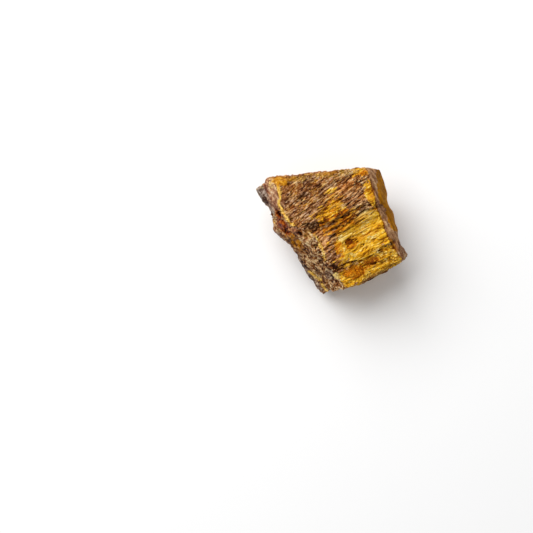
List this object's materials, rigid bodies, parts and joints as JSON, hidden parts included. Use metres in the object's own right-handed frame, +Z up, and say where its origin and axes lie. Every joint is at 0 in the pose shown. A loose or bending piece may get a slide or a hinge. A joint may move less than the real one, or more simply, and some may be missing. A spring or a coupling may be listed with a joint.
{
  "type": "raw tiger eye",
  "caption": "Broken chunk of raw tiger eye with fibrous ledges, a knobbly crust on one side and a smooth rind on the other, resting on a flat foot.",
  "frame": {"origin": "middle of the stone's outline seen from above, on the surface that it rests on", "axes": "+X along its longest side, +Y towards its high back edge, +Z up"},
  "size_m": [0.0452, 0.038, 0.0258],
  "materials": {
    "tiger_eye": "broken fibrous quartz, golden brown, softly silky"
  },
  "bodies": {
    "root": {"tiger_eye_stone": "tiger_eye"}
  },
  "joints": []
}
